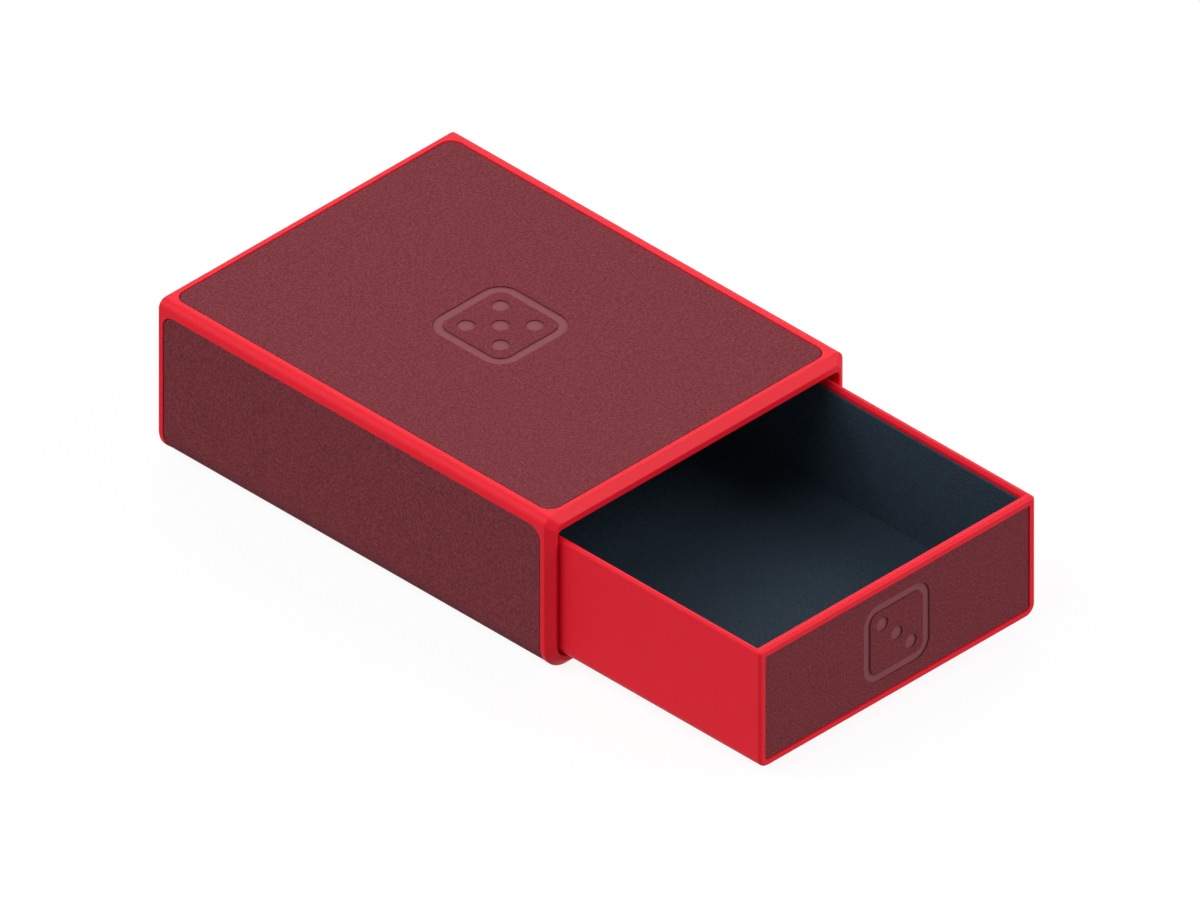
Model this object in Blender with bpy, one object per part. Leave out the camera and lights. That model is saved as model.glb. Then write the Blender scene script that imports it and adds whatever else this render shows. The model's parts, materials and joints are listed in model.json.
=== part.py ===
"""Small storage chest: a rigid sleeve with let-in panels and a lined drawer that slides out of its mouth.

The sleeve stands on the plane Z = 0 with its centre over the origin. Its mouth faces -Y, and the drawer is
modelled part way out. All sizes are in metres.
"""
import math

import bmesh
import bpy

# Sleeve
SLEEVE_WIDTH = 0.0823
SLEEVE_LENGTH = 0.1076
SLEEVE_HEIGHT = 0.0367
TOP_WALL = 0.0033
BASE_WALL = 0.0031
SIDE_WALL = 0.00245
TOP_EDGE_RADIUS = 0.0020
BASE_EDGE_RADIUS = 0.0059
CAVITY_TOP_RADIUS = 0.0012
MOUTH_CHAMFER_DEPTH = 0.0015
MOUTH_CHAMFER_WIDTH = 0.00175
MOUTH_CORNER_CUT = 0.0013
MOUTH_CREASE_SHARE = 0.8
MOUTH_LIP_RADIUS = 0.0003
BACK_PANEL_THICKNESS = 0.0022

# Panels let into the sleeve and into the drawer's front
INLAY_THICKNESS = 0.0004
INLAY_CORNER_RADIUS = 0.0026
INLAY_MOUTH_MARGIN = 0.00265
INLAY_BACK_MARGIN = 0.0012
TOP_INLAY_SIDE_MARGIN = 0.0028
SIDE_INLAY_TOP_MARGIN = 0.0028
BACK_INLAY_MARGIN = 0.0014
FRONT_INLAY_MARGIN = 0.00155
FRONT_INLAY_TOP_RADIUS = 0.0001
FRONT_INLAY_RECESS = 0.00025

# Drawer
DRAWER_SIDE_GAP = 0.0007
DRAWER_UNDER_GAP = 0.0003
DRAWER_HEAD_GAP = 0.0022
DRAWER_CLOSED_GAP = 0.0003
DRAWER_OPEN_BY = 0.0547
DRAWER_SIDE_WALL = 0.0014
DRAWER_FRONT_WALL = 0.0020
DRAWER_BACK_WALL = 0.0024
DRAWER_FLOOR = 0.0018
DRAWER_BASE_EDGE_RADIUS = 0.0025
DRAWER_RIM_RADIUS = 0.0007
DRAWER_RIM_SLOPE_WIDTH = 0.0004
DRAWER_RIM_SLOPE_DEPTH = 0.0007
DRAWER_END_RADIUS = 0.0007

# Drawer lining
WALL_LINING_THICKNESS = 0.0004
FLOOR_LINING_THICKNESS = 0.0008
LINING_DROP = 0.00125

# Magnets that hold the drawer shut
MAGNET_RADIUS = 0.0040
MAGNET_THICKNESS = 0.0010
MAGNET_SPACING = 0.0400

# Fits and cuts
SEAT_GAP = 0.0003
CUT_OVERRUN = 0.0010
LEAST_RADIUS = 0.00005

# Facets and shading
ARC_STEPS = 10
EDGE_STEPS = 4
MAGNET_SIDES = 32
SHARP_ANGLE = math.radians(32.0)

# Places that follow from the sizes above
HALF_WIDTH = SLEEVE_WIDTH / 2
MOUTH_Y = -SLEEVE_LENGTH / 2
BACK_Y = SLEEVE_LENGTH / 2
INLAY_POCKET = INLAY_THICKNESS + SEAT_GAP
PANEL_OUTER_Y = BACK_Y - INLAY_POCKET
PANEL_INNER_Y = PANEL_OUTER_Y - BACK_PANEL_THICKNESS
CAVITY_HALF_WIDTH = HALF_WIDTH - SIDE_WALL
CAVITY_TOP = SLEEVE_HEIGHT - TOP_WALL
DRAWER_HALF_WIDTH = CAVITY_HALF_WIDTH - DRAWER_SIDE_GAP
DRAWER_HEIGHT = CAVITY_TOP - BASE_WALL - DRAWER_UNDER_GAP - DRAWER_HEAD_GAP
DRAWER_LENGTH = PANEL_INNER_Y - DRAWER_CLOSED_GAP - MOUTH_Y
DRAWER_BASE_Z = BASE_WALL + DRAWER_UNDER_GAP
WELL_HALF_WIDTH = DRAWER_HALF_WIDTH - DRAWER_SIDE_WALL
WELL_BACK_Y = DRAWER_LENGTH - DRAWER_BACK_WALL
FLOOR_LINING_TOP = DRAWER_FLOOR + SEAT_GAP + FLOOR_LINING_THICKNESS
LINING_TOP = DRAWER_HEIGHT - LINING_DROP
MAGNET_POCKET = MAGNET_THICKNESS + SEAT_GAP


# Outlines: closed lists of (across, up) points, each with the same number of points, so any two can be lofted

def quarter_arc(across, up, radius, quarter):
    """Points of a quarter circle, anticlockwise from the given quarter turn."""
    points = []
    for step in range(ARC_STEPS + 1):
        angle = (quarter + step / ARC_STEPS) * math.pi / 2
        points.append((across + radius * math.cos(angle), up + radius * math.sin(angle)))
    return points


def rounded_outline(half_width, low, high, low_radius, high_radius):
    """Rectangle about the centre line, with its two lower and its two upper corners rounded alike."""
    low_radius = max(low_radius, LEAST_RADIUS)
    high_radius = max(high_radius, LEAST_RADIUS)
    low_right = quarter_arc(half_width - low_radius, low + low_radius, low_radius, 3)
    high_right = quarter_arc(half_width - high_radius, high - high_radius, high_radius, 0)
    high_left = quarter_arc(high_radius - half_width, high - high_radius, high_radius, 1)
    low_left = quarter_arc(low_radius - half_width, low + low_radius, low_radius, 2)
    return low_right + high_right + high_left + low_left


def sleeve_outline(inset):
    """The sleeve's outer outline, moved inwards."""
    return rounded_outline(HALF_WIDTH - inset, inset, SLEEVE_HEIGHT - inset,
                           BASE_EDGE_RADIUS - inset, TOP_EDGE_RADIUS - inset)


def mouth_outline():
    """The sleeve's outline at the mouth's front plane, inside the chamfer.

    Its upper corners are cut off straight from one point of the arc behind on, so each leaves a facet on the
    chamfer, with a crease between it and the chamfer's top.
    """
    half_width = HALF_WIDTH - MOUTH_CHAMFER_WIDTH
    high = SLEEVE_HEIGHT - MOUTH_CHAMFER_WIDTH
    arc = quarter_arc(HALF_WIDTH - TOP_EDGE_RADIUS, SLEEVE_HEIGHT - TOP_EDGE_RADIUS, TOP_EDGE_RADIUS, 0)
    crease = round(ARC_STEPS * MOUTH_CREASE_SHARE)
    high_right = []
    for step, (across, _) in enumerate(arc):
        cut_share = min(step / crease, 1)
        past_crease = min(across - arc[crease][0], 0)
        high_right.append((half_width - MOUTH_CORNER_CUT * cut_share + past_crease,
                           high - MOUTH_CORNER_CUT * (1 - cut_share)))
    high_left = [(-across, up) for across, up in reversed(high_right)]
    base_radius = BASE_EDGE_RADIUS - MOUTH_CHAMFER_WIDTH
    low_right = quarter_arc(half_width - base_radius, MOUTH_CHAMFER_WIDTH + base_radius, base_radius, 3)
    low_left = quarter_arc(base_radius - half_width, MOUTH_CHAMFER_WIDTH + base_radius, base_radius, 2)
    return low_right + high_right + high_left + low_left


def cavity_outline(grow):
    """The outline of the room inside the sleeve, moved outwards."""
    return rounded_outline(CAVITY_HALF_WIDTH + grow, BASE_WALL - grow, CAVITY_TOP + grow,
                           BASE_EDGE_RADIUS - BASE_WALL + grow, CAVITY_TOP_RADIUS + grow)


def drawer_outline(inset):
    """The drawer's outer outline, moved inwards."""
    return rounded_outline(DRAWER_HALF_WIDTH - inset, inset, DRAWER_HEIGHT - inset,
                           DRAWER_BASE_EDGE_RADIUS - inset, DRAWER_RIM_RADIUS - inset)


def front_inlay_outline(grow):
    """The outline of the drawer's front panel, moved outwards."""
    margin = FRONT_INLAY_MARGIN + SEAT_GAP - grow
    return rounded_outline(DRAWER_HALF_WIDTH - margin, margin, DRAWER_HEIGHT - margin,
                           DRAWER_BASE_EDGE_RADIUS - margin, FRONT_INLAY_TOP_RADIUS + grow)


# Meshes

def finish_object(name, build, material, parent):
    """Make one named object of a bmesh."""
    bmesh.ops.recalc_face_normals(build, faces=build.faces)
    mesh = bpy.data.meshes.new(name)
    build.to_mesh(mesh)
    build.free()
    mesh.shade_smooth()
    mesh.set_sharp_from_angle(angle=SHARP_ANGLE)
    if material is not None:
        mesh.materials.append(material)
    part = bpy.data.objects.new(name, mesh)
    part.parent = parent
    bpy.context.scene.collection.objects.link(part)
    return part


def skin_rings(build, rings, closed):
    """Join rings of points with quads: into a closed loop of rings, or capped at both ends."""
    rows = [[build.verts.new(point) for point in ring] for ring in rings]
    following = rows[1:] + rows[:1] if closed else rows[1:]
    for row, after in zip(rows, following):
        count = len(row)
        for index in range(count):
            nearby = (index + 1) % count
            build.faces.new((row[index], row[nearby], after[nearby], after[index]))
    if not closed:
        build.faces.new(rows[0])
        build.faces.new(rows[-1])


def loft_along_y(name, sections, closed, material, parent):
    """Loft (outline, y) sections. A closed loft makes a tube with a wall, and an open one a solid."""
    build = bmesh.new()
    rings = [[(across, y, up) for across, up in outline] for outline, y in sections]
    skin_rings(build, rings, closed)
    return finish_object(name, build, material, parent)


def upright_plate(name, outline, low_y, high_y, material, parent):
    """A flat plate that faces along Y."""
    return loft_along_y(name, [(outline, low_y), (outline, high_y)], False, material, parent)


def lying_plate(name, outline, low_z, high_z, material, parent):
    """A flat plate that faces along Z, from an outline of (x, y) points."""
    build = bmesh.new()
    rings = [[(x, y, z) for x, y in outline] for z in (low_z, high_z)]
    skin_rings(build, rings, False)
    return finish_object(name, build, material, parent)


def box(name, low, high, material, parent):
    """A square-edged block between two corners."""
    outline = [(low[0], low[1]), (high[0], low[1]), (high[0], high[1]), (low[0], high[1])]
    return lying_plate(name, outline, low[2], high[2], material, parent)


def disc(name, x, z, low_y, high_y, radius, material, parent):
    """A round disc whose axis lies along Y."""
    outline = []
    for side in range(MAGNET_SIDES):
        angle = 2 * math.pi * side / MAGNET_SIDES
        outline.append((x + radius * math.cos(angle), z + radius * math.sin(angle)))
    return upright_plate(name, outline, low_y, high_y, material, parent)


def cut(target, cutter):
    """Take the cutter's shape out of the target."""
    cutter.hide_render = True
    cutter.display_type = 'WIRE'
    modifier = target.modifiers.new(cutter.name, 'BOOLEAN')
    modifier.operation = 'DIFFERENCE'
    modifier.solver = 'EXACT'
    modifier.object = cutter


# Materials

def linear(value):
    """A display colour value from 0 to 255 as a linear one."""
    share = value / 255
    return share / 12.92 if share <= 0.04045 else ((share + 0.055) / 1.055) ** 2.4


def material(name, red, green, blue, roughness, metallic):
    """A plain material of one colour."""
    made = bpy.data.materials.new(name)
    made.use_nodes = True
    shader = made.node_tree.nodes['Principled BSDF']
    shader.inputs['Base Color'].default_value = (linear(red), linear(green), linear(blue), 1.0)
    shader.inputs['Roughness'].default_value = roughness
    shader.inputs['Metallic'].default_value = metallic
    made.diffuse_color = shader.inputs['Base Color'].default_value
    return made


# Sleeve

def wrap_stations(grow):
    """Stations of the wrap-round panel, up the right side from its top edge, under the base and up the left.

    Each is a point on the sleeve's surface, the outward normal there and the panel's ends along Y. The panel
    is drawn in at its top corners, which are rounded.
    """
    top = SLEEVE_HEIGHT - SIDE_INLAY_TOP_MARGIN - SEAT_GAP + grow
    front = MOUTH_Y + INLAY_MOUTH_MARGIN + SEAT_GAP - grow
    back = BACK_Y - INLAY_BACK_MARGIN - SEAT_GAP + grow
    radius = INLAY_CORNER_RADIUS + grow
    stations = []
    for step in range(ARC_STEPS + 1):
        turn = math.pi / 2 * step / ARC_STEPS
        drawn_in = radius * (1 - math.sin(turn))
        height = top - radius * (1 - math.cos(turn))
        stations.append((HALF_WIDTH, height, 1, 0, front + drawn_in, back - drawn_in))
    for step in range(ARC_STEPS + 1):
        turn = math.pi / 2 * step / ARC_STEPS
        across = HALF_WIDTH - BASE_EDGE_RADIUS * (1 - math.cos(turn))
        height = BASE_EDGE_RADIUS * (1 - math.sin(turn))
        stations.append((across, height, math.cos(turn), -math.sin(turn), front, back))
    mirrored = [(-across, height, -out_x, out_z, near, far)
                for across, height, out_x, out_z, near, far in reversed(stations)]
    return stations + mirrored


def wrap_panel(name, grow, outside, inside, skin, parent):
    """A panel that wraps round the sides and the base, between two depths from the sleeve's surface."""
    rings = []
    for across, height, out_x, out_z, near, far in wrap_stations(grow):
        outer = (across + out_x * outside, height + out_z * outside)
        inner = (across - out_x * inside, height - out_z * inside)
        rings.append([(outer[0], near, outer[1]), (outer[0], far, outer[1]),
                      (inner[0], far, inner[1]), (inner[0], near, inner[1])])
    build = bmesh.new()
    skin_rings(build, rings, False)
    return finish_object(name, build, skin, parent)


def top_inlay_outline(grow):
    """The outline of the top panel in X and Y, moved outwards."""
    half_width = HALF_WIDTH - TOP_INLAY_SIDE_MARGIN - SEAT_GAP + grow
    radius = INLAY_CORNER_RADIUS + grow
    return rounded_outline(half_width, MOUTH_Y + INLAY_MOUTH_MARGIN + SEAT_GAP - grow,
                           BACK_Y - INLAY_BACK_MARGIN - SEAT_GAP + grow, radius, radius)


def make_sleeve_shell(red, parent):
    """The wrapped tube: chamfered mouth, plain back end with a rebate, pockets for the panels."""
    sections = [
        (sleeve_outline(0), BACK_Y),
        (sleeve_outline(0), MOUTH_Y + MOUTH_CHAMFER_DEPTH),
        (mouth_outline(), MOUTH_Y),
    ]
    for step in range(EDGE_STEPS + 1):
        turn = math.pi / 2 * step / EDGE_STEPS
        widened = cavity_outline(MOUTH_LIP_RADIUS * (1 - math.sin(turn)))
        sections.append((widened, MOUTH_Y + MOUTH_LIP_RADIUS * (1 - math.cos(turn))))
    sections.append((cavity_outline(0), PANEL_OUTER_Y))
    sections.append((sleeve_outline(BACK_INLAY_MARGIN), PANEL_OUTER_Y))
    sections.append((sleeve_outline(BACK_INLAY_MARGIN), BACK_Y))
    shell = loft_along_y('sleeve_shell', sections, True, red, parent)
    cut(shell, lying_plate('top_pocket_cutter', top_inlay_outline(SEAT_GAP), SLEEVE_HEIGHT - INLAY_POCKET,
                           SLEEVE_HEIGHT + CUT_OVERRUN, None, parent))
    cut(shell, wrap_panel('wrap_pocket_cutter', SEAT_GAP, CUT_OVERRUN, INLAY_POCKET, None, parent))


def make_sleeve_inlays(burgundy, parent):
    """The panels on the top, round the sides and base, and on the back."""
    lying_plate('top_inlay', top_inlay_outline(0), SLEEVE_HEIGHT - INLAY_THICKNESS, SLEEVE_HEIGHT,
                burgundy, parent)
    wrap_panel('side_and_base_inlay', 0, 0, INLAY_THICKNESS, burgundy, parent)
    upright_plate('back_inlay', sleeve_outline(BACK_INLAY_MARGIN + SEAT_GAP), BACK_Y - INLAY_THICKNESS,
                  BACK_Y, burgundy, parent)


def magnet_places():
    """The side names and the X places of a pair of magnets."""
    return (('left', -MAGNET_SPACING / 2), ('right', MAGNET_SPACING / 2))


def make_sleeve_back(red, metal, parent):
    """The panel glued in the tube's back end, with magnets let into its outer face."""
    panel = upright_plate('sleeve_back_panel', cavity_outline(-SEAT_GAP), PANEL_INNER_Y, PANEL_OUTER_Y,
                          red, parent)
    magnet_z = DRAWER_BASE_Z + DRAWER_HEIGHT / 2
    for side, x in magnet_places():
        cut(panel, disc('sleeve_magnet_cutter_' + side, x, magnet_z, PANEL_OUTER_Y - MAGNET_POCKET,
                        PANEL_OUTER_Y + CUT_OVERRUN, MAGNET_RADIUS + SEAT_GAP, None, parent))
        disc('sleeve_magnet_' + side, x, magnet_z, PANEL_OUTER_Y - MAGNET_THICKNESS, PANEL_OUTER_Y,
             MAGNET_RADIUS, metal, parent)


# Drawer, in its own frame: Y = 0 at its front, Z = 0 at its underside

def drawer_sections():
    """Sections of the drawer's solid outer body, with rounded edges at both ends."""
    front = []
    for step in range(EDGE_STEPS + 1):
        turn = math.pi / 2 * step / EDGE_STEPS
        outline = drawer_outline(DRAWER_END_RADIUS * (1 - math.sin(turn)))
        front.append((outline, DRAWER_END_RADIUS * (1 - math.cos(turn))))
    back = [(outline, DRAWER_LENGTH - y) for outline, y in reversed(front)]
    return front + back


def well_cutter(parent):
    """The room inside the tray, which widens towards the rim, so the walls slope there."""
    rings = []
    for height, grow in ((DRAWER_FLOOR, 0), (DRAWER_HEIGHT - DRAWER_RIM_SLOPE_DEPTH, 0),
                         (DRAWER_HEIGHT, DRAWER_RIM_SLOPE_WIDTH),
                         (DRAWER_HEIGHT + CUT_OVERRUN, DRAWER_RIM_SLOPE_WIDTH)):
        side = WELL_HALF_WIDTH + grow
        near = DRAWER_FRONT_WALL - grow
        far = WELL_BACK_Y + grow
        rings.append([(-side, near, height), (side, near, height), (side, far, height), (-side, far, height)])
    build = bmesh.new()
    skin_rings(build, rings, False)
    return finish_object('well_cutter', build, None, parent)


def make_drawer_tray(red, parent):
    """The wrapped tray: open above, with a pocket in its front and two in its back wall."""
    tray = loft_along_y('drawer_tray', drawer_sections(), False, red, parent)
    cut(tray, well_cutter(parent))
    cut(tray, upright_plate('front_pocket_cutter', front_inlay_outline(SEAT_GAP), -CUT_OVERRUN,
                            FRONT_INLAY_RECESS + INLAY_POCKET, None, parent))
    for side, x in magnet_places():
        cut(tray, disc('drawer_magnet_cutter_' + side, x, DRAWER_HEIGHT / 2, WELL_BACK_Y - CUT_OVERRUN,
                       WELL_BACK_Y + MAGNET_POCKET, MAGNET_RADIUS + SEAT_GAP, None, parent))


def make_drawer_magnets(metal, parent):
    """The magnets behind the back lining."""
    for side, x in magnet_places():
        disc('drawer_magnet_' + side, x, DRAWER_HEIGHT / 2, WELL_BACK_Y, WELL_BACK_Y + MAGNET_THICKNESS,
             MAGNET_RADIUS, metal, parent)


def make_front_inlay(burgundy, parent):
    """The panel let into the drawer's front, a little below its edge."""
    upright_plate('drawer_front_inlay', front_inlay_outline(0), FRONT_INLAY_RECESS,
                  FRONT_INLAY_RECESS + INLAY_THICKNESS, burgundy, parent)


def make_drawer_lining(slate, parent):
    """The floor's lining, with the four wall linings standing on it."""
    half_width = WELL_HALF_WIDTH - SEAT_GAP
    near = DRAWER_FRONT_WALL + SEAT_GAP
    far = WELL_BACK_Y - SEAT_GAP
    low = FLOOR_LINING_TOP + SEAT_GAP
    inner = half_width - WALL_LINING_THICKNESS
    box('floor_lining', (-half_width, near, DRAWER_FLOOR + SEAT_GAP), (half_width, far, FLOOR_LINING_TOP),
        slate, parent)
    box('left_lining', (-half_width, near, low), (-inner, far, LINING_TOP), slate, parent)
    box('right_lining', (inner, near, low), (half_width, far, LINING_TOP), slate, parent)
    between = inner - SEAT_GAP
    box('front_lining', (-between, near, low), (between, near + WALL_LINING_THICKNESS, LINING_TOP),
        slate, parent)
    box('back_lining', (-between, far - WALL_LINING_THICKNESS, low), (between, far, LINING_TOP),
        slate, parent)


# Assembly

def clear_scene():
    """Remove what the scene holds."""
    for old in list(bpy.data.objects):
        bpy.data.objects.remove(old, do_unlink=True)


def frame_empty(name, place):
    """An empty that carries a group of pieces."""
    empty = bpy.data.objects.new(name, None)
    empty.location = place
    empty.empty_display_size = SLEEVE_HEIGHT
    bpy.context.scene.collection.objects.link(empty)
    return empty


def main():
    """Build the sleeve round the origin, and the drawer on its slide."""
    clear_scene()
    red = material('red_leatherette', 205, 39, 53, 0.55, 0.0)
    burgundy = material('burgundy_microfibre', 112, 52, 58, 0.9, 0.0)
    slate = material('slate_leatherette', 38, 47, 56, 0.65, 0.0)
    metal = material('nickel', 190, 190, 186, 0.3, 1.0)

    sleeve = frame_empty('sleeve_frame', (0, 0, 0))
    make_sleeve_shell(red, sleeve)
    make_sleeve_inlays(burgundy, sleeve)
    make_sleeve_back(red, metal, sleeve)

    drawer = frame_empty('drawer_slide', (0, MOUTH_Y - DRAWER_OPEN_BY, DRAWER_BASE_Z))
    make_drawer_tray(red, drawer)
    make_front_inlay(burgundy, drawer)
    make_drawer_lining(slate, drawer)
    make_drawer_magnets(metal, drawer)


main()
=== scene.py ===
"""Looks of a small storage chest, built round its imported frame. All sizes are in metres."""
import json
import math

import bmesh
import bpy
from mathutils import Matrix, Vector


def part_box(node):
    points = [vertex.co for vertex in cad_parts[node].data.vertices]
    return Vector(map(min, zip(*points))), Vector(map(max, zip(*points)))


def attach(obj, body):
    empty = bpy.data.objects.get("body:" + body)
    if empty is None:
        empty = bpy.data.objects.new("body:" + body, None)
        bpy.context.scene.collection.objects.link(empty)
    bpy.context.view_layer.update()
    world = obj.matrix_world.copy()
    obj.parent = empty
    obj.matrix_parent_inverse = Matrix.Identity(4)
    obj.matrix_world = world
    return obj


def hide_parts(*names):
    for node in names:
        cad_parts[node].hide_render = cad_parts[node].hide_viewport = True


# Picture
PHOTO_WIDTH_PX = 1200
PHOTO_CENTRE_PX = (600.0, 459.0)
ORIGIN_PX = (503.2, 480.6)
PIXELS_A_METRE = 5137.0
VIEW_AZIMUTH = math.radians(-45.06)
VIEW_ELEVATION = math.radians(34.96)
CAMERA_DISTANCE = 0.8

# Light: each lamp's vector points to where it stands, and is as long as the lamp is bright
SKY_LIGHT = 0.13
LAMP_SPREAD = math.radians(45.0)
LAMPS = {
    'back_right_lamp': (0.131, 0.131, 0.129),
    'front_right_lamp': (0.360, -0.409, 0.298),
    'back_left_lamp': (-0.172, 0.190, 0.190),
    'high_left_lamp': (-0.271, 0.042, 0.317),
    'front_left_lamp': (-0.070, -0.075, 0.027),
}
FLOOR_SIZE = 6.0
FLOOR_DROP = 0.00005
FLOOR_PAINT = 0.8
FLOOR_SHADOW_SHARE = 0.15
FLOOR_GLOW = 1.06
FLOOR_BOUNCE = 0.30

# Sizes that the frame's boxes don't give
SEAT_GAP = 0.0003
HAIR_GAP = 0.00005
MOUTH_CHAMFER_DEPTH = 0.0015
INLAY_CORNER_RADIUS = 0.0026
BASE_EDGE_RADIUS = 0.0059
TOP_EDGE_RADIUS = 0.0020
BACK_INLAY_MARGIN = 0.0014
DRAWER_BASE_EDGE_RADIUS = 0.0025
FRONT_INLAY_MARGIN = 0.00155
FRONT_INLAY_TOP_RADIUS = 0.0001

# Soft edges. GUARD is how far beside a bend the next row of points lies, so that the flats shade flat.
INLAY_GROWTH = 0.00012
INLAY_ROLL = 0.00020
INLAY_DROP = 0.00010
FRONT_INLAY_GROWTH = 0.00018
FRONT_INLAY_ROLL = 0.00014
LINING_REACH = SEAT_GAP - HAIR_GAP
LINING_GROWTH = 0.00005
LINING_ROLL = 0.00012
LINING_CORNER_RADIUS = 0.00035
WRAP_EDGE_ROLL = 0.00013
BACK_EDGE_ROLL = 0.00020
GUARD = 0.00010
LEAST_RADIUS = 0.00002
ARC_STEPS = 10
ROLL_STEPS = 5
BEVEL_SEGMENTS = 3
ROUND_PROFILE = 0.5
MERGE_DISTANCE = 0.000001
COPLANAR_ANGLE = math.radians(0.4)
SHARP_ANGLE = math.radians(28.0)
SHADE_ANGLE = math.radians(40.0)
CREASE_ANGLE = math.radians(12.0)
CREASE_REACH = 0.0003

# Pressed ornament: a plain square frame with round pips
TOP_ORNAMENT_SIZE = 0.0215
FRONT_ORNAMENT_SIZE = 0.0180
ORNAMENT_BAND_SHARE = 0.095
ORNAMENT_CORNER_SHARE = 0.22
ORNAMENT_PIP_SHARE = 0.085
ORNAMENT_PIP_PLACE_SHARE = 0.22
PRESS_DEPTH = 0.00034
PRESS_SLOPE = 0.00014
PRESS_STEPS = 5
PIP_SIDES = 40
TOP_PIPS = ((0, 0), (-1, -1), (-1, 1), (1, -1), (1, 1))
FRONT_PIPS = ((0, 0), (-1, 1), (1, -1))
PRESSED_LAYER = 'pressed'

# The drawer's walls, each with the direction that its lining faces
WALLS = {
    'left': (1, 0, 0),
    'right': (-1, 0, 0),
    'front': (0, 1, 0),
    'back': (0, -1, 0),
}

# Display colours: red, green and blue from 0 to 255
RED = (230, 20, 42)
RED_BLOTCH = (233, 21, 44)
RED_SPECK = (244, 40, 60)
# Lighter edges: partly rubbed wear, partly a painted highlight
RED_WORN_AND_HIGHLIT_EDGE = (244, 52, 68)
NAP_DARK = (103, 43, 49)
NAP_LIGHT = (135, 62, 69)
NAP_PATCH = (110, 44, 50)
NAP_CLOUD = (124, 53, 60)
# Painted shade on the steep walls of the pressed marks
PRESSED_WALL_SHADE = (80, 27, 33)
# Floors of the pressed marks: the pressed nap's own paler tone, with a painted sheen
PRESSED_FLOOR_TONE_AND_SHEEN = (142, 82, 88)
SLATE = (38, 51, 61)
SLATE_CLOUD = (41, 54, 65)
SLATE_CREASE = (29, 38, 46)
SLATE_SPECK = (54, 70, 83)
NICKEL_DARK = (178, 178, 174)
NICKEL_LIGHT = (198, 198, 194)

# Size of each pattern in the materials, and depth of each relief
RED_GRAIN_SIZE = 0.00042
RED_GRAIN_DEPTH = 0.00002
RED_CREASE_SIZE = 0.0011
RED_CREASE_DEPTH = 0.00001
RED_BLOTCH_SIZE = 0.014
RED_SPECK_SIZE = 0.00022
RED_WORN_AND_HIGHLIT_EDGE_WIDTH = 0.0005
NAP_SIZE = 0.00044
NAP_DEPTH = 0.00006
NAP_PATCH_SIZE = 0.0011
NAP_CLOUD_SIZE = 0.011
NAP_PEBBLE_SIZE = 0.00055
NAP_PEBBLE_DEPTH = 0.00004
SLATE_CREASE_SIZE = 0.0007
SLATE_CREASE_DEPTH = 0.00006
SLATE_PEBBLE_SIZE = 0.0004
SLATE_PEBBLE_DEPTH = 0.00006
SLATE_CLOUD_SIZE = 0.009
SLATE_SPECK_SIZE = 0.0003
NICKEL_HAZE_SIZE = 0.0012
NICKEL_RIPPLE_SIZE = 0.00012
NICKEL_RIPPLE_DEPTH = 0.00001

# How alike a surface's own normal and its rounded one are, from 0 to 1, on an edge and on a flat
EDGE_LIKENESS = 0.90
FLAT_LIKENESS = 0.995
EDGE_SAMPLES = 4

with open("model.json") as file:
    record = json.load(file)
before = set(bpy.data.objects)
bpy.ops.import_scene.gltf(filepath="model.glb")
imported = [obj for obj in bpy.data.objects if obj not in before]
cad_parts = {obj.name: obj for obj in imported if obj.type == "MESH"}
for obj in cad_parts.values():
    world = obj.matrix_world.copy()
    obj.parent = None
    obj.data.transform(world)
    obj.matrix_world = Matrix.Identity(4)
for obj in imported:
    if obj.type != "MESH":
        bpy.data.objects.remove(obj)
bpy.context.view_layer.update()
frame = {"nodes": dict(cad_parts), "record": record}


# Node trees

class Tree:
    """Short calls for building a node tree."""

    def __init__(self, tree):
        self.nodes = tree.nodes
        self.links = tree.links

    def add(self, kind, **values):
        """A new node with its own settings."""
        node = self.nodes.new(kind)
        for name, value in values.items():
            setattr(node, name, value)
        return node

    def join(self, start, end):
        """Link an output socket to an input socket."""
        self.links.new(start, end)

    def noise(self, place, size, detail):
        """The value of a noise whose blobs are about this size."""
        node = self.add('ShaderNodeTexNoise')
        node.inputs['Scale'].default_value = 1 / size
        node.inputs['Detail'].default_value = detail
        self.join(place, node.inputs['Vector'])
        return node.outputs['Fac']

    def cells(self, place, size, feature='F1'):
        """The distance value of a cell pattern of this size."""
        node = self.add('ShaderNodeTexVoronoi', feature=feature)
        node.inputs['Scale'].default_value = 1 / size
        self.join(place, node.inputs['Vector'])
        return node.outputs['Distance']

    def spread(self, value, limits, results):
        """A value mapped smoothly from between two limits to between two results."""
        node = self.add('ShaderNodeMapRange', interpolation_type='SMOOTHSTEP')
        node.inputs['From Min'].default_value = limits[0]
        node.inputs['From Max'].default_value = limits[1]
        node.inputs['To Min'].default_value = results[0]
        node.inputs['To Max'].default_value = results[1]
        self.join(value, node.inputs['Value'])
        return node.outputs['Result']

    def maths(self, operation, first, second):
        """An operation on two sockets."""
        node = self.add('ShaderNodeMath', operation=operation)
        self.join(first, node.inputs[0])
        self.join(second, node.inputs[1])
        return node.outputs['Value']

    def blend(self, share, low, high):
        """A mix of two colours, each a socket or a display colour."""
        node = self.add('ShaderNodeMix', data_type='RGBA')
        self.join(share, node.inputs['Factor'])
        for socket, paint in (('A', low), ('B', high)):
            target = next(entry for entry in node.inputs if entry.name == socket and entry.type == 'RGBA')
            if isinstance(paint, tuple):
                target.default_value = colour(paint)
            else:
                self.join(paint, target)
        return next(entry for entry in node.outputs if entry.type == 'RGBA')

    def bump(self, height, depth, strength, under=None):
        """A bumped normal from a height between 0 and 1, over another bump if one is given."""
        node = self.add('ShaderNodeBump')
        node.inputs['Distance'].default_value = depth
        node.inputs['Strength'].default_value = strength
        self.join(height, node.inputs['Height'])
        if under is not None:
            self.join(under, node.inputs['Normal'])
        return node.outputs['Normal']


# Materials

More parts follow.
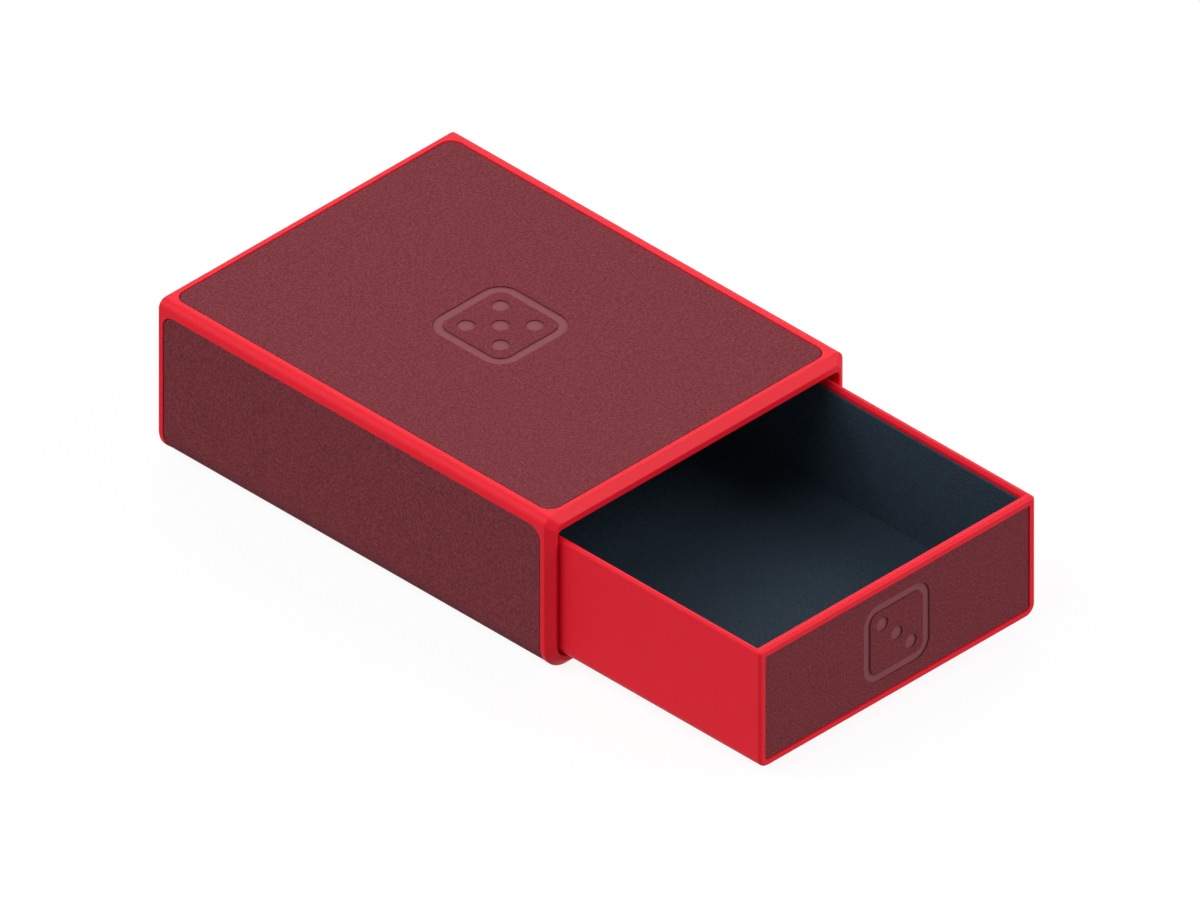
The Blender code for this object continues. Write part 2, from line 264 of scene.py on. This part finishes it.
def linear(value):
    """A display colour value from 0 to 255 as a linear one."""
    share = value / 255
    return share / 12.92 if share <= 0.04045 else ((share + 0.055) / 1.055) ** 2.4


def colour(display):
    """A linear opaque colour from a display colour."""
    return (*(linear(value) for value in display), 1.0)


def new_material(name, roughness, specular, sheen=0.0, sheen_roughness=0.5, metallic=0.0):
    """A material with a Principled shader, its tree and its object coordinates."""
    made = bpy.data.materials.new(name)
    made.use_nodes = True
    tree = Tree(made.node_tree)
    shader = made.node_tree.nodes['Principled BSDF']
    shader.inputs['Roughness'].default_value = roughness
    shader.inputs['Specular IOR Level'].default_value = specular
    shader.inputs['Sheen Weight'].default_value = sheen
    shader.inputs['Sheen Roughness'].default_value = sheen_roughness
    shader.inputs['Metallic'].default_value = metallic
    place = tree.add('ShaderNodeTexCoord').outputs['Object']
    return made, tree, shader, place


def edge_mask(tree, radius):
    """A value of 1 on convex and concave edges, falling to 0 on the flats beside them."""
    rounded = tree.add('ShaderNodeBevel', samples=EDGE_SAMPLES)
    rounded.inputs['Radius'].default_value = radius
    surface = tree.add('ShaderNodeNewGeometry')
    likeness = tree.add('ShaderNodeVectorMath', operation='DOT_PRODUCT')
    tree.join(rounded.outputs['Normal'], likeness.inputs[0])
    tree.join(surface.outputs['Normal'], likeness.inputs[1])
    return tree.spread(likeness.outputs['Value'], (EDGE_LIKENESS, FLAT_LIKENESS), (1.0, 0.0))


def red_leatherette():
    """Bright red wrap: a fine shallow grain, faint blotches, and edges painted a little lighter, partly as
    rubbed wear and partly as a painted highlight.
    """
    made, tree, shader, place = new_material('red_leatherette_wrap', roughness=0.52, specular=0.20)
    grain = tree.cells(place, RED_GRAIN_SIZE)
    creases = tree.cells(place, RED_CREASE_SIZE, feature='DISTANCE_TO_EDGE')
    blotches = tree.noise(place, RED_BLOTCH_SIZE, detail=3.0)
    specks = tree.noise(place, RED_SPECK_SIZE, detail=2.0)
    mixed = tree.blend(tree.spread(blotches, (0.3, 0.7), (0.0, 1.0)), RED, RED_BLOTCH)
    mixed = tree.blend(tree.spread(specks, (0.3, 0.7), (0.0, 0.10)), mixed, RED_SPECK)
    # Convex and concave edges painted lighter, partly as rubbed wear and partly as a painted highlight
    worn_and_highlit_share = tree.spread(blotches, (0.35, 0.75), (0.10, 0.30))
    worn_and_highlit_edges = tree.maths('MULTIPLY', edge_mask(tree, RED_WORN_AND_HIGHLIT_EDGE_WIDTH), worn_and_highlit_share)
    mixed = tree.blend(worn_and_highlit_edges, mixed, RED_WORN_AND_HIGHLIT_EDGE)
    tree.join(mixed, shader.inputs['Base Color'])
    tree.join(tree.spread(specks, (0.2, 0.8), (0.46, 0.58)), shader.inputs['Roughness'])
    relief = tree.bump(grain, RED_GRAIN_DEPTH, strength=0.35)
    flats = tree.spread(creases, (0.0, 0.12), (0.0, 1.0))
    relief = tree.bump(flats, RED_CREASE_DEPTH, strength=0.25, under=relief)
    tree.join(relief, shader.inputs['Normal'])
    return made


def burgundy_microfibre():
    """Matt suede-like fabric with a short cloudy nap. Pressed marks are smooth; their floors are paler,
    partly the pressed nap's own tone and partly a painted sheen, and their walls are darkened with painted
    shade.
    """
    made, tree, shader, place = new_material('burgundy_microfibre_panel', roughness=0.92, specular=0.05,
                                             sheen=0.02, sheen_roughness=0.6)
    nap = tree.noise(place, NAP_SIZE, detail=0.5)
    patches = tree.noise(place, NAP_PATCH_SIZE, detail=2.0)
    clouds = tree.noise(place, NAP_CLOUD_SIZE, detail=3.0)
    pebbles = tree.cells(place, NAP_PEBBLE_SIZE)
    mixed = tree.blend(tree.spread(nap, (0.22, 0.78), (0.0, 1.0)), NAP_DARK, NAP_LIGHT)
    mixed = tree.blend(tree.spread(patches, (0.3, 0.7), (0.0, 0.22)), mixed, NAP_PATCH)
    mixed = tree.blend(tree.spread(clouds, (0.35, 0.65), (0.0, 0.16)), mixed, NAP_CLOUD)
    pressed = tree.add('ShaderNodeAttribute', attribute_name=PRESSED_LAYER).outputs['Fac']
    # Painted shade darkens the walls of the pressed marks
    mixed = tree.blend(tree.spread(pressed, (0.0, 0.3), (0.0, 0.6)), mixed, PRESSED_WALL_SHADE)
    # Paler floors of the pressed marks: the nap's own tone, with a painted sheen
    mixed = tree.blend(tree.spread(pressed, (0.75, 1.0), (0.0, 0.85)), mixed, PRESSED_FLOOR_TONE_AND_SHEEN)
    tree.join(mixed, shader.inputs['Base Color'])
    tree.join(tree.spread(pressed, (0.0, 1.0), (0.92, 0.62)), shader.inputs['Roughness'])
    standing = tree.spread(pressed, (0.0, 1.0), (1.0, 0.3))
    raised_nap = tree.maths('MULTIPLY', nap, standing)
    raised_pebbles = tree.maths('MULTIPLY', pebbles, standing)
    relief = tree.bump(raised_nap, NAP_DEPTH, strength=0.30)
    relief = tree.bump(raised_pebbles, NAP_PEBBLE_DEPTH, strength=0.20, under=relief)
    tree.join(relief, shader.inputs['Normal'])
    return made


def slate_leatherette():
    """Dark blue-grey lining: a soft creased grain with a low gloss on its high spots."""
    made, tree, shader, place = new_material('slate_leatherette_lining', roughness=0.6, specular=0.16)
    creases = tree.cells(place, SLATE_CREASE_SIZE, feature='DISTANCE_TO_EDGE')
    pebbles = tree.cells(place, SLATE_PEBBLE_SIZE)
    clouds = tree.noise(place, SLATE_CLOUD_SIZE, detail=3.0)
    specks = tree.noise(place, SLATE_SPECK_SIZE, detail=1.0)
    mixed = tree.blend(tree.spread(clouds, (0.3, 0.7), (0.0, 1.0)), SLATE, SLATE_CLOUD)
    mixed = tree.blend(tree.spread(creases, (0.0, 0.15), (0.5, 0.0)), mixed, SLATE_CREASE)
    mixed = tree.blend(tree.spread(specks, (0.3, 0.7), (0.0, 0.6)), mixed, SLATE_SPECK)
    tree.join(mixed, shader.inputs['Base Color'])
    tree.join(tree.spread(creases, (0.0, 0.2), (0.75, 0.5)), shader.inputs['Roughness'])
    relief = tree.bump(pebbles, SLATE_PEBBLE_DEPTH, strength=0.60)
    flats = tree.spread(creases, (0.0, 0.18), (0.0, 1.0))
    relief = tree.bump(flats, SLATE_CREASE_DEPTH, strength=0.80, under=relief)
    tree.join(relief, shader.inputs['Normal'])
    return made


def nickel():
    """Plated disc: a faint haze over fine ripples."""
    made, tree, shader, place = new_material('nickel_plate', roughness=0.3, specular=0.5, metallic=1.0)
    haze = tree.noise(place, NICKEL_HAZE_SIZE, detail=3.0)
    ripples = tree.noise(place, NICKEL_RIPPLE_SIZE, detail=2.0)
    mixed = tree.blend(tree.spread(haze, (0.3, 0.7), (0.0, 1.0)), NICKEL_DARK, NICKEL_LIGHT)
    tree.join(mixed, shader.inputs['Base Color'])
    tree.join(tree.spread(haze, (0.2, 0.8), (0.22, 0.38)), shader.inputs['Roughness'])
    tree.join(tree.bump(ripples, NICKEL_RIPPLE_DEPTH, strength=0.3), shader.inputs['Normal'])
    return made


# Mesh building

def finish_piece(name, build, material, is_crease=None):
    """Make one named object of a bmesh, smooth but for its sharp edges and what is_crease picks."""
    bmesh.ops.recalc_face_normals(build, faces=build.faces)
    for face in build.faces:
        face.smooth = True
    for edge in build.edges:
        if len(edge.link_faces) == 2 and edge.calc_face_angle() > SHADE_ANGLE:
            edge.smooth = False
        elif is_crease is not None and is_crease(edge):
            edge.smooth = False
    mesh = bpy.data.meshes.new(name)
    build.to_mesh(mesh)
    build.free()
    mesh.materials.append(material)
    piece = bpy.data.objects.new(name, mesh)
    bpy.context.scene.collection.objects.link(piece)
    weighted = piece.modifiers.new('flat_faces_shade_flat', 'WEIGHTED_NORMAL')
    weighted.keep_sharp = True
    return piece


def corner_arc(u, v, radius, quarter):
    """Points of a quarter circle about (u, v), anticlockwise from the given quarter turn."""
    points = []
    for step in range(ARC_STEPS + 1):
        angle = (quarter + step / ARC_STEPS) * math.pi / 2
        points.append((u + radius * math.cos(angle), v + radius * math.sin(angle)))
    return points


class Sheet:
    """The flat outline of a thin piece.

    It has limits in u and v, corner radii, and stations along u where the piece bends.
    """

    def __init__(self, low, high, low_radius, high_radius, stations=()):
        self.low = low
        self.high = high
        self.low_radius = low_radius
        self.high_radius = high_radius
        self.stations = stations

    def loop(self, inset):
        """The outline moved inwards, anticlockwise from the corner at the low ends of u and v."""
        low_u, low_v = (value + inset for value in self.low)
        high_u, high_v = (value - inset for value in self.high)
        low = max(self.low_radius - inset, LEAST_RADIUS)
        high = max(self.high_radius - inset, LEAST_RADIUS)
        points = corner_arc(low_u + low, low_v + low, low, 2)
        points += [(u, low_v) for u in self.stations]
        points += corner_arc(high_u - low, low_v + low, low, 3)
        points += corner_arc(high_u - high, high_v - high, high, 0)
        points += [(u, high_v) for u in reversed(self.stations)]
        points += corner_arc(low_u + high, high_v - high, high, 1)
        return points

    def cap(self, build, row):
        """Close a row of the outline's vertices: strips of faces between the stations, and the two ends."""
        corner = ARC_STEPS + 1
        count = len(self.stations)
        if count == 0:
            build.faces.new(row)
            return
        near = row[corner:corner + count]
        far = list(reversed(row[3 * corner + count:3 * corner + 2 * count]))
        for index in range(count - 1):
            build.faces.new((near[index], near[index + 1], far[index + 1], far[index]))
        build.faces.new([near[-1]] + row[corner + count:3 * corner + count] + [far[-1]])
        build.faces.new([far[0]] + row[3 * corner + 2 * count:] + row[:corner] + [near[0]])


def add_rows(build, loops, pressed):
    """Add (outline, height, share pressed) loops as rows of vertices, and join each row to the next."""
    rows = []
    for outline, height, share in loops:
        row = [build.verts.new((u, v, height)) for u, v in outline]
        for vertex in row:
            vertex[pressed] = share
        rows.append(row)
    for row, after in zip(rows, rows[1:]):
        count = len(row)
        for index in range(count):
            nearby = (index + 1) % count
            build.faces.new((row[index], row[nearby], after[nearby], after[index]))
    return rows


def row_edges(build, row):
    """The edges of a closed row of vertices."""
    edges = []
    for index, vertex in enumerate(row):
        after = row[(index + 1) % len(row)]
        edges.append(build.edges.get((vertex, after)))
    return edges


def rolled_edge(sheet, thickness, roll):
    """Loops from the underside up the edge and over its rolled corner to the face."""
    loops = [(sheet.loop(0.0), -thickness, 0.0)]
    for step in range(ROLL_STEPS + 1):
        turn = math.pi / 2 * step / ROLL_STEPS
        loops.append((sheet.loop(roll * (1 - math.cos(turn))), -roll * (1 - math.sin(turn)), 0.0))
    loops.append((sheet.loop(roll + GUARD), 0.0, 0.0))
    return loops


def press_steps(edge, inwards):
    """Steps of (offset, height, share pressed) down the slope at an edge, from the face to the mark's floor.

    The mark lies inside the edge where inwards is 1, and outside it where inwards is -1.
    """
    steps = [(edge + inwards * (PRESS_SLOPE / 2 + GUARD), 0.0, 0.0)]
    for step in range(PRESS_STEPS + 1):
        share = step / PRESS_STEPS
        eased = share * share * (3 - 2 * share)
        steps.append((edge + inwards * PRESS_SLOPE * (0.5 - share), -PRESS_DEPTH * eased, eased))
    steps.append((edge - inwards * (PRESS_SLOPE / 2 + GUARD), -PRESS_DEPTH, 1.0))
    return steps


def square_frame_loops(centre, size):
    """Loops of the pressed square frame, from outside it to inside it."""
    band = size * ORNAMENT_BAND_SHARE
    radius = size * ORNAMENT_CORNER_SHARE
    steps = press_steps(0.0, 1) + list(reversed(press_steps(-band, -1)))
    loops = []
    for offset, height, share in steps:
        half = size / 2 + offset
        square = Sheet((centre[0] - half, centre[1] - half), (centre[0] + half, centre[1] + half),
                       radius + offset, radius + offset)
        loops.append((square.loop(0.0), height, share))
    return loops


def pip_loops(centre, radius):
    """Loops of one pressed round pip, from outside it to near its middle."""
    loops = []
    steps = press_steps(0.0, 1) + [(-radius / 2, -PRESS_DEPTH, 1.0)]
    for offset, height, share in steps:
        outline = []
        for side in range(PIP_SIDES):
            angle = 2 * math.pi * side / PIP_SIDES
            outline.append((centre[0] + (radius + offset) * math.cos(angle),
                            centre[1] + (radius + offset) * math.sin(angle)))
        loops.append((outline, height, share))
    return loops


def add_ornament(build, face_row, pressed, centre, size, pips):
    """Press a square frame with pips into the face that a row of vertices bounds."""
    frame_rows = add_rows(build, square_frame_loops(centre, size), pressed)
    outer = row_edges(build, face_row) + row_edges(build, frame_rows[0])
    bmesh.ops.triangle_fill(build, edges=outer, use_beauty=True)
    inner = row_edges(build, frame_rows[-1])
    reach = size * ORNAMENT_PIP_PLACE_SHARE
    for across, along in pips:
        place = (centre[0] + across * reach, centre[1] + along * reach)
        rows = add_rows(build, pip_loops(place, size * ORNAMENT_PIP_SHARE), pressed)
        build.faces.new(rows[-1])
        inner += row_edges(build, rows[0])
    bmesh.ops.triangle_fill(build, edges=inner, use_beauty=True)


def soft_sheet(name, sheet, thickness, roll, place, material, ornament=None):
    """A thin piece with rolled edges, put in place by a function of u, v and the height over its face."""
    build = bmesh.new()
    pressed = build.verts.layers.float.new(PRESSED_LAYER)
    rows = add_rows(build, rolled_edge(sheet, thickness, roll), pressed)
    sheet.cap(build, rows[0])
    if ornament is None:
        sheet.cap(build, rows[-1])
    else:
        add_ornament(build, rows[-1], pressed, *ornament)
    for vertex in build.verts:
        vertex.co = place(*vertex.co)
    return finish_piece(name, build, material)


def plane(origin, along_u, along_v, outwards):
    """A place function for a flat piece."""
    start, first, second, out = (Vector(entry) for entry in (origin, along_u, along_v, outwards))
    return lambda u, v, height: start + u * first + v * second + height * out


def hand_over(piece, node):
    """Let a piece stand for a CAD node: it joins the node's body, and the node is hidden."""
    record = frame["record"]
    body = next(name for name, members in record["behaviour"]["bodies"].items() if node in members)
    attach(piece, body)
    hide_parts(node)


# Wrapped shells: the CAD solids with their edges softened

def softened_solid(name, node, material, edge_roll=lambda middle: WRAP_EDGE_ROLL, is_crease=None):
    """A copy of a CAD solid whose outward edges are rolled, each by what edge_roll says of its middle."""
    build = bmesh.new()
    build.from_mesh(frame["nodes"][node].data)
    bmesh.ops.remove_doubles(build, verts=build.verts, dist=MERGE_DISTANCE)
    bmesh.ops.dissolve_limit(build, angle_limit=COPLANAR_ANGLE, verts=build.verts, edges=build.edges)
    bmesh.ops.recalc_face_normals(build, faces=build.faces)
    rolls = {}
    for edge in build.edges:
        if len(edge.link_faces) == 2 and edge.calc_face_angle_signed() > SHARP_ANGLE:
            roll = edge_roll((edge.verts[0].co + edge.verts[1].co) / 2)
            rolls.setdefault(roll, []).append(edge)
    for roll in sorted(rolls, reverse=True):
        edges = [edge for edge in rolls[roll] if edge.is_valid]
        bmesh.ops.bevel(build, geom=edges, offset=roll, offset_type='OFFSET', segments=BEVEL_SEGMENTS,
                        profile=ROUND_PROFILE, affect='EDGES', clamp_overlap=True)
    return finish_piece(name, build, material, is_crease)


def make_sleeve_wrap(red):
    """The sleeve's wrapped tube, with a softer edge at its back end and creased corners on its mouth."""
    low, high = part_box("sleeve_shell")

    def edge_roll(middle):
        return BACK_EDGE_ROLL if middle.y > high.y - HAIR_GAP else WRAP_EDGE_ROLL

    def is_crease(edge):
        near, far = sorted((vertex.co for vertex in edge.verts), key=lambda place: place.y)
        starts_at_mouth = near.y - low.y < WRAP_EDGE_ROLL
        ends_at_chamfer = abs(far.y - low.y - MOUTH_CHAMFER_DEPTH) < WRAP_EDGE_ROLL
        is_high = far.z > high.z - CREASE_REACH
        is_folded = edge.calc_face_angle(0.0) > CREASE_ANGLE
        return starts_at_mouth and ends_at_chamfer and is_high and is_folded

    hand_over(softened_solid('sleeve_wrap', "sleeve_shell", red, edge_roll, is_crease), "sleeve_shell")


def make_back_board(red):
    """The wrapped board that closes the sleeve's back end."""
    hand_over(softened_solid('sleeve_back_board', "sleeve_back_panel", red), "sleeve_back_panel")


def make_tray_wrap(red):
    """The drawer's wrapped tray."""
    hand_over(softened_solid('tray_wrap', "drawer_tray", red), "drawer_tray")


def plate_magnets(plated):
    """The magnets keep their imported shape, and get the plated finish."""
    for body in ("sleeve", "drawer"):
        for side in ("left", "right"):
            frame["nodes"][body + "_magnet_" + side].data.materials[0] = plated


# Fabric panels

def make_top_panel(burgundy):
    """The panel let into the top."""
    low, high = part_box("top_inlay")
    middle = ((low.x + high.x) / 2, (low.y + high.y) / 2)
    growth = INLAY_GROWTH
    radius = INLAY_CORNER_RADIUS + growth
    sheet = Sheet((low.x - growth, low.y - growth), (high.x + growth, high.y + growth), radius, radius)
    place = plane((0, 0, high.z - INLAY_DROP), (1, 0, 0), (0, 1, 0), (0, 0, 1))
    piece = soft_sheet('top_panel', sheet, high.z - low.z, INLAY_ROLL, place, burgundy,
                       (middle, TOP_ORNAMENT_SIZE, TOP_PIPS))
    hand_over(piece, "top_inlay")


def make_wrap_panel(burgundy):
    """The panel round both sides and the base: u runs round the section from the middle of the base."""
    low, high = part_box("side_and_base_inlay")
    top_low, top_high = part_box("top_inlay")
    thickness = top_high.z - top_low.z
    flat = high.x - BASE_EDGE_RADIUS
    bend = BASE_EDGE_RADIUS * math.pi / 2
    reach = flat + bend + high.z - BASE_EDGE_RADIUS + INLAY_GROWTH
    one_side = [flat - GUARD]
    one_side += [flat + bend * step / ARC_STEPS for step in range(ARC_STEPS + 1)]
    one_side.append(flat + bend + GUARD)
    stations = [-u for u in reversed(one_side)] + one_side
    radius = INLAY_CORNER_RADIUS + INLAY_GROWTH
    sheet = Sheet((-reach, low.y - INLAY_GROWTH), (reach, high.y + INLAY_GROWTH), radius, radius, stations)

    def place(u, v, height):
        side = math.copysign(1, u)
        along = abs(u)
        turn = min(max((along - flat) / BASE_EDGE_RADIUS, 0.0), math.pi / 2)
        out = BASE_EDGE_RADIUS + height - INLAY_DROP
        across = min(along, flat) + out * math.sin(turn)
        rise = max(along - flat - bend, 0.0) - out * math.cos(turn)
        return Vector((side * across, v, BASE_EDGE_RADIUS + rise))

    hand_over(soft_sheet('side_and_base_panel', sheet, thickness, INLAY_ROLL, place, burgundy),
              "side_and_base_inlay")


def make_back_panel(burgundy):
    """The panel over the back."""
    low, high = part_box("back_inlay")
    growth = INLAY_GROWTH
    margin = BACK_INLAY_MARGIN + SEAT_GAP - growth
    sheet = Sheet((low.x - growth, low.z - growth), (high.x + growth, high.z + growth),
                  BASE_EDGE_RADIUS - margin, TOP_EDGE_RADIUS - margin)
    place = plane((0, high.y - INLAY_DROP, 0), (-1, 0, 0), (0, 0, 1), (0, 1, 0))
    hand_over(soft_sheet('back_panel', sheet, high.y - low.y, INLAY_ROLL, place, burgundy), "back_inlay")


def make_front_panel(burgundy):
    """The panel let into the drawer's front."""
    low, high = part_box("drawer_front_inlay")
    growth = FRONT_INLAY_GROWTH
    margin = FRONT_INLAY_MARGIN + SEAT_GAP - growth
    sheet = Sheet((low.x - growth, low.z - growth), (high.x + growth, high.z + growth),
                  DRAWER_BASE_EDGE_RADIUS - margin, FRONT_INLAY_TOP_RADIUS + growth)
    place = plane((0, low.y, 0), (1, 0, 0), (0, 0, 1), (0, -1, 0))
    middle = (0.0, (low.z + high.z) / 2)
    piece = soft_sheet('front_panel', sheet, high.y - low.y, FRONT_INLAY_ROLL, place, burgundy,
                       (middle, FRONT_ORNAMENT_SIZE, FRONT_PIPS))
    hand_over(piece, "drawer_front_inlay")


# Lining

def make_floor_lining(slate):
    """The lining of the drawer's floor."""
    low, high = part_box("floor_lining")
    growth = LINING_REACH
    sheet = Sheet((low.x - growth, low.y - growth), (high.x + growth, high.y + growth),
                  LINING_CORNER_RADIUS, LINING_CORNER_RADIUS)
    place = plane((0, 0, high.z), (1, 0, 0), (0, 1, 0), (0, 0, 1))
    hand_over(soft_sheet('floor_cover', sheet, high.z - low.z, LINING_ROLL, place, slate), "floor_lining")


def make_wall_lining(wall, outwards, slate):
    """One wall's lining: it backs onto the wall, and its top edge is rolled over."""
    node = wall + "_lining"
    low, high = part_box(node)
    across, along = outwards[:2]
    if across:
        face = (high.x if across > 0 else low.x, 0, 0)
        ends = (low.y, high.y)
        runs = (0, 1, 0)
        thickness = high.x - low.x
    else:
        face = (0, high.y if along > 0 else low.y, 0)
        ends = (low.x, high.x)
        runs = (1, 0, 0)
        thickness = high.y - low.y
    sheet = Sheet((ends[0] - LINING_REACH, low.z - LINING_REACH), (ends[1] + LINING_REACH, high.z),
                  LINING_CORNER_RADIUS, LINING_CORNER_RADIUS)
    place = plane(face, runs, (0, 0, 1), outwards)
    piece = soft_sheet(wall + '_cover', sheet, thickness + LINING_GROWTH, LINING_ROLL, place, slate)
    hand_over(piece, node)


# Studio

def seen_directly(tree):
    """A share of 1 for what the camera sees, also in gloss and through glass."""
    path = tree.add('ShaderNodeLightPath')
    share = tree.maths('MAXIMUM', path.outputs['Is Camera Ray'], path.outputs['Is Glossy Ray'])
    return tree.maths('MAXIMUM', share, path.outputs['Is Transmission Ray'])


def make_world():
    """A soft white sky, dimmer as a light than as it is seen."""
    world = bpy.data.worlds.new('studio')
    bpy.context.scene.world = world
    world.use_nodes = True
    tree = Tree(world.node_tree)
    light = world.node_tree.nodes['Background']
    light.inputs['Color'].default_value = (1, 1, 1, 1)
    strength = tree.add('ShaderNodeMapRange')
    strength.inputs['To Min'].default_value = SKY_LIGHT
    strength.inputs['To Max'].default_value = 1.0
    tree.join(seen_directly(tree), strength.inputs['Value'])
    tree.join(strength.outputs['Result'], light.inputs['Strength'])


def make_floor():
    """A floor that looks white, keeps a faint shadow of the chest, and lights it with a steady bounce."""
    build = bmesh.new()
    bmesh.ops.create_grid(build, x_segments=1, y_segments=1, size=FLOOR_SIZE / 2)
    mesh = bpy.data.meshes.new('studio_floor')
    build.to_mesh(mesh)
    build.free()
    floor = bpy.data.objects.new('studio_floor', mesh)
    floor.location.z = -FLOOR_DROP
    bpy.context.scene.collection.objects.link(floor)
    made = bpy.data.materials.new('studio_floor')
    made.use_nodes = True
    tree = Tree(made.node_tree)
    made.node_tree.nodes.remove(made.node_tree.nodes['Principled BSDF'])
    paint = tree.add('ShaderNodeBsdfDiffuse')
    paint.inputs['Color'].default_value = (FLOOR_PAINT, FLOOR_PAINT, FLOOR_PAINT, 1)
    bounce = tree.add('ShaderNodeEmission')
    bounce.inputs['Strength'].default_value = FLOOR_BOUNCE
    glow = tree.add('ShaderNodeEmission')
    glow.inputs['Strength'].default_value = FLOOR_GLOW
    seen = tree.add('ShaderNodeMixShader')
    seen.inputs['Fac'].default_value = FLOOR_SHADOW_SHARE
    tree.join(glow.outputs[0], seen.inputs[1])
    tree.join(paint.outputs[0], seen.inputs[2])
    either = tree.add('ShaderNodeMixShader')
    tree.join(seen_directly(tree), either.inputs['Fac'])
    tree.join(bounce.outputs[0], either.inputs[1])
    tree.join(seen.outputs[0], either.inputs[2])
    tree.join(either.outputs[0], made.node_tree.nodes['Material Output'].inputs['Surface'])
    mesh.materials.append(made)


def make_lamps():
    """Five broad, soft and distant lamps round the chest."""
    for name, vector in LAMPS.items():
        towards = Vector(vector)
        lamp = bpy.data.lights.new(name, 'SUN')
        lamp.energy = math.pi * towards.length
        lamp.angle = LAMP_SPREAD
        holder = bpy.data.objects.new(name, lamp)
        holder.rotation_mode = 'QUATERNION'
        holder.rotation_quaternion = towards.to_track_quat('Z', 'Y')
        bpy.context.scene.collection.objects.link(holder)


def make_camera():
    """The photograph's view: parallel lines, seen along the corner of a cube."""
    lens = bpy.data.cameras.new('camera')
    lens.type = 'ORTHO'
    lens.ortho_scale = PHOTO_WIDTH_PX / PIXELS_A_METRE
    back = Vector((math.sin(VIEW_AZIMUTH) * math.cos(VIEW_ELEVATION),
                   -math.cos(VIEW_AZIMUTH) * math.cos(VIEW_ELEVATION), math.sin(VIEW_ELEVATION)))
    turn = back.to_track_quat('Z', 'Y')
    right = turn @ Vector((1, 0, 0))
    up = turn @ Vector((0, 1, 0))
    across = (PHOTO_CENTRE_PX[0] - ORIGIN_PX[0]) / PIXELS_A_METRE
    rise = (ORIGIN_PX[1] - PHOTO_CENTRE_PX[1]) / PIXELS_A_METRE
    camera = bpy.data.objects.new('camera', lens)
    camera.rotation_mode = 'QUATERNION'
    camera.rotation_quaternion = turn
    camera.location = back * CAMERA_DISTANCE + right * across + up * rise
    bpy.context.scene.collection.objects.link(camera)
    bpy.context.scene.camera = camera


def main():
    """Dress the frame, and set up the studio."""
    bpy.context.scene.view_settings.view_transform = 'Standard'
    make_camera()
    make_world()
    make_floor()
    make_lamps()
    red = red_leatherette()
    burgundy = burgundy_microfibre()
    slate = slate_leatherette()
    plated = nickel()
    make_sleeve_wrap(red)
    make_back_board(red)
    make_tray_wrap(red)
    make_top_panel(burgundy)
    make_wrap_panel(burgundy)
    make_back_panel(burgundy)
    make_front_panel(burgundy)
    make_floor_lining(slate)
    for wall, outwards in WALLS.items():
        make_wall_lining(wall, outwards, slate)
    plate_magnets(plated)


main()
